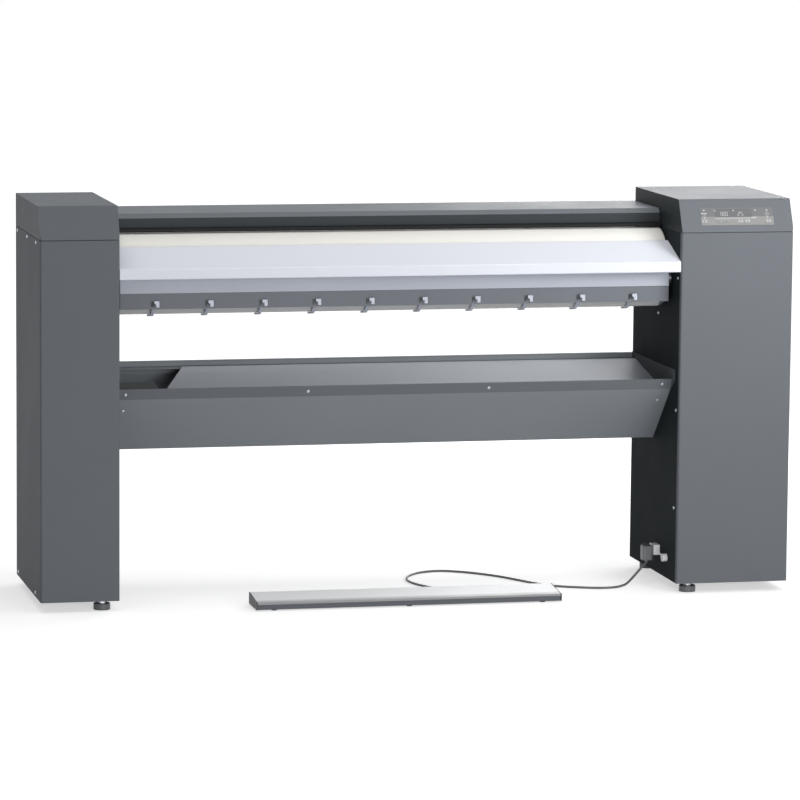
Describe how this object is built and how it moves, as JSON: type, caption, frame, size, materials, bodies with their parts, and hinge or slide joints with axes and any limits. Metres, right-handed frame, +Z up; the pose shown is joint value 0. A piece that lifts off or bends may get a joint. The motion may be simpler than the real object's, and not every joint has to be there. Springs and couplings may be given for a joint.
{
  "type": "flatwork ironer",
  "caption": "Floor-standing flatwork ironer: padded roller over a heated swinging trough, feed table, hood with finger guard, laundry tray and a corded foot bar.",
  "frame": {"origin": "on the floor, under the middle of the machine's footprint with the foot bar and the rear cable gland included", "axes": "+X to the right along the roller as the operator sees it, +Y to the back, +Z up"},
  "size_m": [1.9108, 0.52, 0.995],
  "materials": {
    "dark_frame_paint": "satin dark grey paint",
    "iron_grey_paint": "satin iron-grey powder coat",
    "zinc_steel": "bright zinc-plated steel",
    "grey_foot_plastic": "matte grey plastic",
    "black_aluminium": "black anodised aluminium",
    "pale_table_coating": "smooth pale bluish coating",
    "cast_housing": "machined cast iron",
    "drive_paint": "blue-grey machine paint",
    "belt_rubber": "black belt rubber",
    "felt_padding": "thick felt",
    "ironing_cloth": "off-white woven cloth",
    "polished_plate": "polished heated plate",
    "end_plate_paint": "satin grey paint",
    "heater_sheath": "heat-tinted steel sheath",
    "insulation_mat": "mineral mat",
    "satin_deposit_paint": "satin light grey",
    "panel_foil": "matte grey foil",
    "display_lens": "smoked glossy window",
    "circuit_board": "green board",
    "pale_keys": "matte pale plastic",
    "grey_keys": "matte grey plastic",
    "switch_box_steel": "galvanised sheet",
    "black_plastic": "matte black plastic",
    "white_plastic": "matte white plastic",
    "satin_aluminium": "satin anodised aluminium",
    "foot_rubber": "black rubber",
    "cord_rubber": "matte dark cable sheath"
  },
  "bodies": {
    "machine": {"left_frame_plate": "dark_frame_paint", "right_frame_plate": "dark_frame_paint", "left_casing": "iron_grey_paint", "right_casing": "iron_grey_paint", "back_panels": "iron_grey_paint", "left_cap": "iron_grey_paint", "right_cap": "iron_grey_paint", "base_frames": "dark_frame_paint", "foot_stems": "zinc_steel", "foot_pads": "grey_foot_plastic", "hood": "iron_grey_paint", "hood_beam": "dark_frame_paint", "feed_table": "pale_table_coating", "roller_bearings": "cast_housing", "plain_bushes": "zinc_steel", "drive_gear_motor": "drive_paint", "drive_belt": "belt_rubber", "lift_gear_motor": "drive_paint", "tray_front_panel": "iron_grey_paint", "tray_back_panel": "iron_grey_paint", "tray_end_plates": "dark_frame_paint", "deposit_plate": "satin_deposit_paint", "panel_screws": "zinc_steel", "control_panel": "panel_foil", "display_window": "display_lens", "control_board": "circuit_board", "electrics_box": "switch_box_steel", "cable_gland": "black_plastic", "foot_socket": "white_plastic", "socket_cap": "white_plastic", "foot_bar_base": "iron_grey_paint", "foot_bar_end_caps": "black_plastic", "foot_bar_feet": "foot_rubber", "foot_bar_springs": "zinc_steel", "micro_switches": "black_plastic", "foot_cord": "cord_rubber", "foot_plug": "black_plastic"},
    "roller": {"roller_tube": "zinc_steel", "roller_ends": "zinc_steel", "roller_padding": "felt_padding", "roller_cloth": "ironing_cloth", "roller_pulley": "cast_housing"},
    "motor_pulley": {"motor_pulley": "cast_housing"},
    "trough": {"trough_plate": "polished_plate", "trough_housing": "zinc_steel", "trough_front_cover": "iron_grey_paint", "trough_end_plates": "end_plate_paint", "trough_clamps": "zinc_steel", "heating_elements": "heater_sheath", "trough_insulation": "insulation_mat", "lift_arms": "zinc_steel"},
    "lift_shaft": {"lift_shaft": "zinc_steel"},
    "finger_guard": {"finger_guard": "black_aluminium"},
    "foot_tread": {"foot_tread": "satin_aluminium"},
    "key_start": {"key_start": "pale_keys"},
    "key_temp_down": {"key_temp_down": "grey_keys"},
    "key_temp_up": {"key_temp_up": "grey_keys"},
    "key_speed_down": {"key_speed_down": "grey_keys"},
    "key_speed_up": {"key_speed_up": "grey_keys"},
    "key_power": {"key_power": "pale_keys"}
  },
  "joints": [
    {"name": "roller_spin", "type": "hinge", "parent": "machine", "child": "roller", "pos_m": [-0.048, 0.006, 0.82], "axis": [1, 0, 0], "continuous": true},
    {"name": "motor_spin", "type": "hinge", "parent": "machine", "child": "motor_pulley", "pos_m": [0.717, 0.006, 0.56], "axis": [1, 0, 0], "continuous": true},
    {"name": "trough_swing", "type": "hinge", "parent": "machine", "child": "trough", "pos_m": [-0.048, -0.092, 0.792], "axis": [1, 0, 0], "range_deg": [0, 2.9]},
    {"name": "lift_turn", "type": "hinge", "parent": "machine", "child": "lift_shaft", "pos_m": [-0.048, 0.191, 0.725], "axis": [1, 0, 0], "range_deg": [0, 60]},
    {"name": "guard_tilt", "type": "hinge", "parent": "machine", "child": "finger_guard", "pos_m": [-0.048, 0.013, 0.932], "axis": [-1, 0, 0], "range_deg": [0, 10], "stiffness_Nm_per_rad": 1, "springref_deg": -8.59},
    {"name": "tread_press", "type": "hinge", "parent": "machine", "child": "foot_tread", "pos_m": [-0.0415, -0.166, 0.0257], "axis": [1, 0, 0], "range_deg": [0, 2], "stiffness_Nm_per_rad": 4, "springref_deg": -8.59, "deforming": ["foot_bar_springs"]},
    {"name": "key_start_press", "type": "slide", "parent": "machine", "child": "key_start", "axis": [0, 0.8968, -0.4425], "range_m": [0, 0.0008], "stiffness_N_per_m": 400, "springref_m": -0.0012},
    {"name": "key_temp_down_press", "type": "slide", "parent": "machine", "child": "key_temp_down", "axis": [0, 0.8968, -0.4425], "range_m": [0, 0.0008], "stiffness_N_per_m": 400, "springref_m": -0.0012},
    {"name": "key_temp_up_press", "type": "slide", "parent": "machine", "child": "key_temp_up", "axis": [0, 0.8968, -0.4425], "range_m": [0, 0.0008], "stiffness_N_per_m": 400, "springref_m": -0.0012},
    {"name": "key_speed_down_press", "type": "slide", "parent": "machine", "child": "key_speed_down", "axis": [0, 0.8968, -0.4425], "range_m": [0, 0.0008], "stiffness_N_per_m": 400, "springref_m": -0.0012},
    {"name": "key_speed_up_press", "type": "slide", "parent": "machine", "child": "key_speed_up", "axis": [0, 0.8968, -0.4425], "range_m": [0, 0.0008], "stiffness_N_per_m": 400, "springref_m": -0.0012},
    {"name": "key_power_press", "type": "slide", "parent": "machine", "child": "key_power", "axis": [0, 0.8968, -0.4425], "range_m": [0, 0.0008], "stiffness_N_per_m": 400, "springref_m": -0.0012}
  ],
  "couplings": [
    {"joint": "motor_spin", "follows": "roller_spin", "ratio": 2.8182},
    {"joint": "lift_turn", "follows": "trough_swing", "ratio": 20.69}
  ]
}
